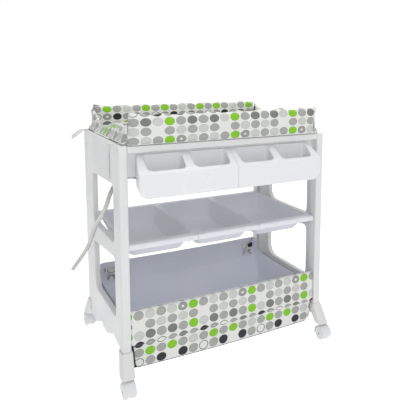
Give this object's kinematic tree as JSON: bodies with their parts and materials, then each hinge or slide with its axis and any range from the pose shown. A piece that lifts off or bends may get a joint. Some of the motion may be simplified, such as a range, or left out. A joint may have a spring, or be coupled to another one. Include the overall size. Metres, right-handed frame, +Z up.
{
  "type": "changing table with bathtub",
  "caption": "Wheeled changing table: a padded mat swings back over a bathtub, above a front tray, lift-out shelf bins and a cloth basket.",
  "frame": {"origin": "on the floor, in the middle of the table's width and depth", "axes": "+X to the right of someone facing the front, +Y to the rear, +Z up"},
  "size_m": [0.9281, 0.635, 0.9264],
  "materials": {
    "frame_plastic": "satin moulded plastic",
    "tub_plastic": "glossy moulded plastic",
    "bin_plastic": "satin moulded plastic",
    "caster_plastic": "satin",
    "axle_steel": "dark",
    "screw_steel": "dark",
    "arm_metal": "white powder coat",
    "rod_metal": "white powder coat",
    "dotted_fabric": "printed coated cloth with dots",
    "liner_fabric": "matt lining",
    "trim_webbing": "matt webbing",
    "strap_webbing": "matt webbing",
    "mat_board": "raw board",
    "hose_rubber": "soft translucent tube"
  },
  "bodies": {
    "frame": {"basket_front_panel": "dotted_fabric", "basket_liner": "liner_fabric", "basket_rods": "rod_metal", "basket_ties": "dotted_fabric", "basket_trim": "trim_webbing", "bracket_screws": "screw_steel", "drain_hose": "hose_rubber", "frame_retainers": "axle_steel", "front_left_foot": "frame_plastic", "front_left_post": "frame_plastic", "front_rail": "frame_plastic", "front_right_foot": "frame_plastic", "front_right_post": "frame_plastic", "front_shelf_bar": "rod_metal", "left_panel": "frame_plastic", "left_pivot_bracket": "arm_metal", "left_tray": "tub_plastic", "rail_screws": "screw_steel", "rear_left_foot": "frame_plastic", "rear_left_post": "frame_plastic", "rear_rail": "frame_plastic", "rear_right_foot": "frame_plastic", "rear_right_post": "frame_plastic", "rear_shelf_bar": "rod_metal", "right_panel": "frame_plastic", "right_pivot_bracket": "arm_metal", "right_tray": "tub_plastic", "side_strap": "strap_webbing", "strap_buckle": "frame_plastic", "tray_screws": "screw_steel", "tub": "tub_plastic", "tub_drain": "frame_plastic"},
    "mat": {"mat_board": "mat_board", "mat_ears": "arm_metal", "mat_retainers": "axle_steel", "mat_pad": "dotted_fabric", "mat_front_wall": "dotted_fabric", "mat_rear_wall": "dotted_fabric", "mat_left_gusset": "dotted_fabric", "mat_right_gusset": "dotted_fabric", "mat_straps": "strap_webbing"},
    "mat_arms": {"left_arm": "arm_metal", "right_arm": "arm_metal"},
    "left_bin": {"left_bin": "bin_plastic"},
    "middle_bin": {"middle_bin": "bin_plastic"},
    "right_bin": {"right_bin": "bin_plastic"},
    "plug": {"drain_plug": "tub_plastic"},
    "front_left_swivel": {"front_left_caster_housing": "caster_plastic", "front_left_caster_axle": "axle_steel"},
    "front_left_wheels": {"front_left_caster_wheels": "caster_plastic"},
    "front_right_swivel": {"front_right_caster_housing": "caster_plastic", "front_right_caster_axle": "axle_steel"},
    "front_right_wheels": {"front_right_caster_wheels": "caster_plastic"},
    "rear_left_swivel": {"rear_left_caster_housing": "caster_plastic", "rear_left_caster_axle": "axle_steel"},
    "rear_left_wheels": {"rear_left_caster_wheels": "caster_plastic"},
    "rear_right_swivel": {"rear_right_caster_housing": "caster_plastic", "rear_right_caster_axle": "axle_steel"},
    "rear_right_wheels": {"rear_right_caster_wheels": "caster_plastic"}
  },
  "joints": [
    {"name": "arm_swing", "type": "hinge", "parent": "frame", "child": "mat_arms", "pos_m": [0, 0.235, 0.803], "axis": [-1, 0, 0], "range_deg": [0, 270]},
    {"name": "mat_turn", "type": "hinge", "parent": "mat_arms", "child": "mat", "pos_m": [0, 0, 0.803], "axis": [-1, 0, 0], "range_deg": [-180, 0]},
    {"name": "plug_lift", "type": "slide", "parent": "frame", "child": "plug", "axis": [0, 0, 1], "range_m": [0, 0.04]},
    {"name": "left_bin_lift", "type": "slide", "parent": "frame", "child": "left_bin", "axis": [0, 0, 1], "range_m": [0, 0.05]},
    {"name": "middle_bin_lift", "type": "slide", "parent": "frame", "child": "middle_bin", "axis": [0, 0, 1], "range_m": [0, 0.05]},
    {"name": "right_bin_lift", "type": "slide", "parent": "frame", "child": "right_bin", "axis": [0, 0, 1], "range_m": [0, 0.05]},
    {"name": "front_left_swivel", "type": "hinge", "parent": "frame", "child": "front_left_swivel", "pos_m": [-0.393, -0.275, 0.0615], "axis": [0, 0, 1], "continuous": true},
    {"name": "front_left_roll", "type": "hinge", "parent": "front_left_swivel", "child": "front_left_wheels", "pos_m": [-0.393, -0.287, 0.026], "axis": [1, 0, 0], "continuous": true},
    {"name": "front_right_swivel", "type": "hinge", "parent": "frame", "child": "front_right_swivel", "pos_m": [0.393, -0.275, 0.0615], "axis": [0, 0, 1], "continuous": true},
    {"name": "front_right_roll", "type": "hinge", "parent": "front_right_swivel", "child": "front_right_wheels", "pos_m": [0.393, -0.287, 0.026], "axis": [1, 0, 0], "continuous": true},
    {"name": "rear_left_swivel", "type": "hinge", "parent": "frame", "child": "rear_left_swivel", "pos_m": [-0.393, 0.275, 0.0615], "axis": [0, 0, 1], "continuous": true},
    {"name": "rear_left_roll", "type": "hinge", "parent": "rear_left_swivel", "child": "rear_left_wheels", "pos_m": [-0.393, 0.287, 0.026], "axis": [1, 0, 0], "continuous": true},
    {"name": "rear_right_swivel", "type": "hinge", "parent": "frame", "child": "rear_right_swivel", "pos_m": [0.393, 0.275, 0.0615], "axis": [0, 0, 1], "continuous": true},
    {"name": "rear_right_roll", "type": "hinge", "parent": "rear_right_swivel", "child": "rear_right_wheels", "pos_m": [0.393, 0.287, 0.026], "axis": [1, 0, 0], "continuous": true}
  ],
  "couplings": [
    {"joint": "mat_turn", "follows": "arm_swing", "ratio": -0.66667}
  ]
}
